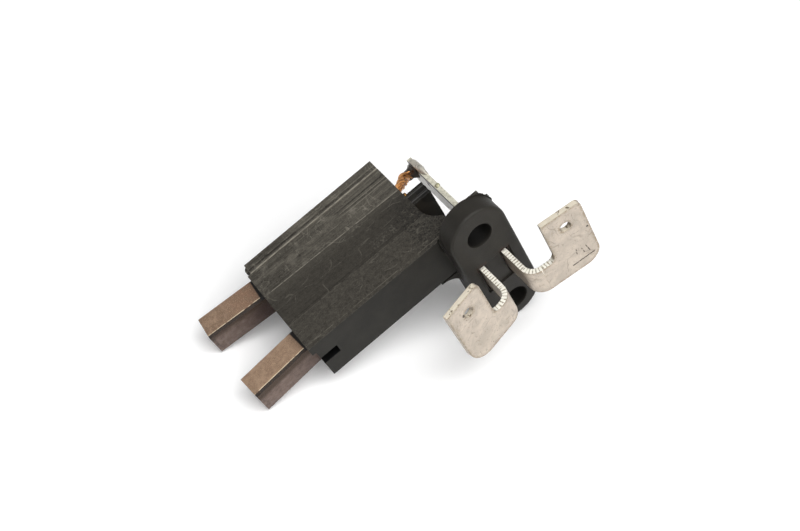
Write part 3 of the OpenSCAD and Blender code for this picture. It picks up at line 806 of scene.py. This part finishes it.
class BRUSHSET_OT_brushes(SharedOptions, bpy.types.Operator):
    """Finish the two carbon brushes and the copper tamped into them"""

    bl_idname = "brushset.brushes"
    bl_label = "Brushes"

    def execute(self, context):
        tamped = wire_finish("tamped_copper", colours().copper, colours().flux, 0.6)
        for name, side in SIDES.items():
            dress(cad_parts["brush_" + name], brush_finish(side), smooth=False)
            dress(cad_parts["tamping_" + name], tamped, smooth=False)
        return {"FINISHED"}


class BRUSHSET_OT_springs(SharedOptions, bpy.types.Operator):
    """Wind the two compression springs"""

    bl_idname = "brushset.springs"
    bl_label = "Springs"

    def execute(self, context):
        steel = wire_finish("spring_steel", colours().steel, colours().steel_dark, 0.32)
        wire = context.scene.wire_sizes
        channel = context.scene.channel_sizes
        steps = 28
        start = channel.brush_end + wire.spring_seat + wire.spring_wire / 2
        free = channel.depth - channel.brush_end - 2 * wire.spring_seat - wire.spring_wire
        pitch = (free - 2 * wire.spring_wire) / (wire.spring_turns - 2)
        radius = (wire.spring_across - wire.spring_wire) / 2
        for name, side in SIDES.items():
            points = []
            for i in range(wire.spring_turns * steps + 1):
                n = i / steps
                x = wire.spring_wire * (min(n, 1) + max(0, n - wire.spring_turns + 1))
                x += pitch * min(max(0, n - 1), wire.spring_turns - 2)
                points.append(channel_point(side, start + x, radius * math.cos(math.tau * n),
                                            radius * math.sin(math.tau * n)))
            piece = new_piece("spring_coil_" + name,
                              lambda shape: sweep(shape, points, wire.spring_wire / 2, 10))
            dress(piece, steel)
            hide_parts("spring_" + name)
            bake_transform(piece)
        return {"FINISHED"}


class BRUSHSET_OT_leads(SharedOptions, bpy.types.Operator):
    """Twist the two copper leads from single strands"""

    bl_idname = "brushset.leads"
    bl_label = "Leads"

    def route(self, name, side):
        """A lead's way: from inside its brush, through the holder and down to its solder joint."""
        channel = bpy.context.scene.channel_sizes
        wire = bpy.context.scene.wire_sizes
        points = [channel_point(side, channel.brush_end - 2.8 * MM), channel_point(side, channel.brush_end),
                  channel_point(side, (channel.brush_end + channel.depth) / 2),
                  channel_point(side, channel.depth - 1 * MM, wire.hole_shift / 2),
                  channel_point(side, channel.body - 0.5 * MM, wire.hole_shift)]
        leave = channel_point(side, channel.body + 0.8 * MM, wire.hole_shift)
        low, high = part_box("solder_" + name)
        joint = (Vector(low) + Vector(high)) / 2
        if side < 0:
            points += [leave + Vector((0, 0.1, -0.2)) * MM,
                       Vector((joint.x, joint.y + 0.2 * MM, high[2] + 1 * MM)), joint]
        else:
            leave += Vector((0, 0.8, -0.3)) * MM
            fall = Vector((low[0] - 0.2 * MM, joint.y - 0.5 * MM, joint.z + 0.8 * MM))
            points += [leave, (2 * leave + fall) / 3, (leave + 2 * fall) / 3, fall, joint]
        return points

    def execute(self, context):
        copper = wire_finish("copper_strand", colours().copper, colours().copper_dark, 0.30)
        wire = context.scene.wire_sizes
        for name, side in SIDES.items():
            spine = smooth_route(self.route(name, side), 12)
            piece = new_piece("strands_" + name, lambda shape: self.twist(shape, spine, wire, side > 0))
            dress(piece, copper)
            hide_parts("lead_" + name)
            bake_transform(piece)
        return {"FINISHED"}

    def twist(self, shape, spine, wire, loose):
        """Strands in a core and two layers, turned about the spine and looser behind the holder."""
        ahead = directions(spine)
        run = [0.0]
        for a, b in zip(spine, spine[1:]):
            run.append(run[-1] + (b - a).length)
        random.seed(4)
        layers = [(0.0, 1), (wire.strand * 0.9, 5), (wire.lead_across / 2 - wire.strand / 2, 8)]
        for radius, count in layers:
            for k in range(count):
                start = math.tau * k / count + random.uniform(-0.2, 0.2)
                wander = random.uniform(0, 50)
                side = ahead[0].orthogonal().normalized()
                points = []
                for place, axis, far in zip(spine, ahead, run):
                    side = (side - axis * side.dot(axis)).normalized()
                    turn = start + math.tau * far / wire.lay
                    free = min(1, max(0, (place.x / MM + 3.3) / 1.2)) if loose else 0
                    away = radius * (1 + (0.12 + 0.75 * free) * noise.noise(
                        Vector((far / MM * 0.6, wander, 0))) + 0.30 * free)
                    points.append(place + (side * math.cos(turn) + axis.cross(side) * math.sin(turn)) * away)
                sweep(shape, points, wire.strand / 2, 7)


class BRUSHSET_OT_terminals(SharedOptions, bpy.types.Operator):
    """Finish the two bent terminals"""

    bl_idname = "brushset.terminals"
    bl_label = "Terminals"

    def execute(self, context):
        tin = tin_finish()
        for name in ("inner", "outer"):
            dress(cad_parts["terminal_" + name], tin, smooth=False)
        return {"FINISHED"}


class BRUSHSET_OT_solder(SharedOptions, bpy.types.Operator):
    """Finish the two solder joints"""

    bl_idname = "brushset.solder"
    bl_label = "Solder"

    def cone(self, shape, foot, axis, height, radius, tip):
        """A hollow-flanked cone, spun about its axis."""
        # Share of the height, and radius there
        profile = [(0.0, radius), (0.12, radius * 0.98), (0.30, radius * 0.80), (0.52, radius * 0.62),
                   (0.78, tip * 1.12), (1.0, tip), (1.0, 0.0)]
        side = axis.orthogonal().normalized()
        line = [shape.verts.new(foot + axis * height * x + side * r) for x, r in [(0.0, 0.0)] + profile]
        edges = [shape.edges.new(pair) for pair in zip(line, line[1:])]
        bmesh.ops.spin(shape, geom=line + edges, cent=foot, axis=axis, angle=math.tau, steps=32,
                       use_merge=True)
        bmesh.ops.remove_doubles(shape, verts=shape.verts, dist=0.01 * MM)

    def lump(self, shape, centre, radii):
        """An egg of solder or flux, in millimetres."""
        place = Matrix.LocRotScale(Vector(centre) * MM, None, Vector(radii) * MM)
        bmesh.ops.create_icosphere(shape, subdivisions=4, radius=1.0, matrix=place)

    def rough(self, piece, depth, high):
        """Pushes the vertices in and out by noise, below a height."""
        for vertex in piece.data.vertices:
            push = noise.noise_vector(vertex.co / MM * 0.9) + 0.4 * noise.noise_vector(vertex.co / MM * 2.4)
            vertex.co += push * depth * MM
            vertex.co.y = min(vertex.co.y, high)

    def execute(self, context):
        # Vector noise takes its seed from the clock unless it is given one
        noise.seed_set(4)
        solder = solder_finish()
        wire = context.scene.wire_sizes
        tip = wire.lead_across / 2 + 0.12 * MM
        for name, axis in (("near", Vector((0, 0, 1))), ("far", Vector((-1, 0, 0)))):
            low, high = (Vector(v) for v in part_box("solder_" + name))
            middle = (low + high) / 2
            foot = middle - axis * (high - low).dot(axis) / 2 * (1 if axis.z else -1)
            tall = abs((high - low).dot(axis))
            reach = (high.y - low.y) / 2
            piece = new_piece("solder_cone_" + name, lambda shape: self.cone(
                shape, foot, axis, tall, reach, tip))
            self.rough(piece, 0.16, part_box("terminal_outer")[1][1])
            dress(piece, solder)
            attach(piece, "holder")
            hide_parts("solder_" + name)
        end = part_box("terminal_outer")[1][1]
        cap = new_piece("solder_cap", lambda shape: [self.lump(shape, *lump) for lump in CAP_LUMPS])
        self.rough(cap, 0.14, end)
        dress(cap, solder)
        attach(cap, "holder")
        amber = wire_finish("flux_amber", colours().amber, colours().amber_dark, 0.15)
        bead = new_piece("flux_bead", lambda shape: self.lump(shape, *FLUX_BEAD))
        self.rough(bead, 0.1, end)
        dress(bead, amber)
        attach(bead, "holder")
        return {"FINISHED"}


class BRUSHSET_OT_stage(SharedOptions, bpy.types.Operator):
    """Lay the floor and set the camera and the lights"""

    bl_idname = "brushset.stage"
    bl_label = "Stage"

    def execute(self, context):
        scene = context.scene
        sizes = scene.stage_sizes
        point, up = floor_plane()
        self.floor(sizes, point, up)
        self.camera(scene, sizes, up)
        centre = (cad_bounds[0] + cad_bounds[1]) / 2
        for name, (height, bearing, across) in LAMPS.items():
            self.lamp(name + "_light", up, height, bearing, centre, across, getattr(sizes, name))
        self.sky(scene, sizes)
        scene.view_settings.view_transform = "Standard"
        return {"FINISHED"}

    def floor(self, sizes, point, up):
        """Pale paper that is seen from above only."""
        lay = up.to_track_quat("Z", "Y").to_matrix().to_4x4()
        lay.translation = point
        floor = new_piece("floor", lambda shape: bmesh.ops.create_grid(
            shape, x_segments=1, y_segments=1, size=sizes.floor_size / 2, matrix=lay))
        if floor.data.polygons[0].normal.dot(up) < 0:
            floor.data.flip_normals()
        f = Finish("floor_paper")
        f.tree.nodes.remove(f.shader)
        paper = f.add("BsdfDiffuse", {"Color": (0.95, 0.95, 0.95)})
        path = f.add("LightPath")
        glow = f.add("Emission", {"Color": (1, 1, 1), "Strength": f.times(
            f.math("MAXIMUM", path.outputs["Is Camera Ray"], path.outputs["Is Glossy Ray"]), sizes.glow)})
        lit = f.add("AddShader", {0: paper.outputs[0], 1: glow.outputs[0]})
        side = f.add("NewGeometry").outputs["Backfacing"]
        clear = f.add("BsdfTransparent")
        both = f.add("MixShader", {0: side, 1: lit.outputs[0], 2: clear.outputs[0]})
        f.tree.links.new(both.outputs[0], f.output.inputs[0])
        floor.data.materials.append(f.material)

    def camera(self, scene, sizes, up):
        """A camera at its place, level with the floor but for its roll."""
        back = -Vector(sizes.gaze).normalized()
        right = up.cross(back).normalized()
        turn = Matrix((right, back.cross(right), back)).transposed() @ Matrix.Rotation(sizes.roll, 3, "Z")
        data = bpy.data.cameras.new("camera")
        data.lens = sizes.lens
        data.sensor_width = 36
        data.clip_start = 0.005
        camera = bpy.data.objects.new("camera", data)
        camera.matrix_world = Matrix.Translation(sizes.place) @ turn.to_4x4()
        scene.collection.objects.link(camera)
        scene.camera = camera

    def lamp(self, name, up, height, bearing, target, size, strength):
        """An area light in the direction given by two angles in degrees: height above the floor and
        bearing round it. Its strength is the brightness it gives a white surface that faces it."""
        data = bpy.data.lights.new(name, "AREA")
        data.shape = "DISK"
        data.size = size
        across = Vector((0, 1, 0))
        rise, turn = math.radians(height), math.radians(bearing)
        level = across.cross(up) * math.cos(turn) + across * math.sin(turn)
        place = target + LAMP_DISTANCE * (up * math.sin(rise) + level * math.cos(rise))
        data.energy = strength * LAMP_POWER * LAMP_DISTANCE ** 2
        lamp = bpy.data.objects.new(name, data)
        lamp.location = place
        lamp.rotation_mode = "QUATERNION"
        lamp.rotation_quaternion = (target - place).to_track_quat("-Z", "Y")
        bpy.context.scene.collection.objects.link(lamp)

    def sky(self, scene, sizes):
        """Even light all round: white to the camera, weak on the object and mid grey in reflections."""
        world = bpy.data.worlds.new("studio")
        world.use_nodes = True
        scene.world = world
        nodes = Nodes(world.node_tree)
        path = nodes.add("LightPath").outputs
        even = nodes.blend(path["Is Camera Ray"], sizes.sky, 1.0)
        shine = nodes.math("MULTIPLY", path["Is Glossy Ray"], sizes.shine)
        background = world.node_tree.nodes["Background"].inputs
        nodes.feed(background["Color"], (1, 1, 1))
        nodes.feed(background["Strength"], nodes.math("MAXIMUM", shine, even))


class BRUSHSET_PT_panel(bpy.types.Panel):
    """Lists the operators and the sizes"""

    bl_label = "Brush Holder"
    bl_idname = "BRUSHSET_PT_panel"
    bl_space_type = "VIEW_3D"
    bl_region_type = "UI"
    bl_category = "Brush Holder"

    def draw(self, context):
        for operator in OPERATORS:
            self.layout.operator(operator.bl_idname)
        for group in GROUPS:
            box = self.layout.box()
            settings = getattr(context.scene, group)
            for name in settings.__annotations__:
                box.prop(settings, name)


OPERATORS = (BRUSHSET_OT_stage, BRUSHSET_OT_holder, BRUSHSET_OT_brushes, BRUSHSET_OT_springs,
             BRUSHSET_OT_leads, BRUSHSET_OT_terminals, BRUSHSET_OT_solder)
GROUPS = {"channel_sizes": ChannelSizes, "holder_sizes": HolderSizes, "wire_sizes": WireSizes,
          "finish_colours": FinishColours, "stage_sizes": StageSizes}


def register():
    for group in GROUPS.values():
        bpy.utils.register_class(group)
    for operator in OPERATORS:
        bpy.utils.register_class(operator)
    bpy.utils.register_class(BRUSHSET_PT_panel)
    for name, group in GROUPS.items():
        setattr(bpy.types.Scene, name, PointerProperty(type=group))


def unregister():
    for name in GROUPS:
        delattr(bpy.types.Scene, name)
    for made in (BRUSHSET_PT_panel, *OPERATORS, *GROUPS.values()):
        bpy.utils.unregister_class(made)


def main():
    register()
    for operator in OPERATORS:
        category, name = operator.bl_idname.split(".")
        getattr(getattr(bpy.ops, category), name)()


if __name__ == "__main__":
    main()
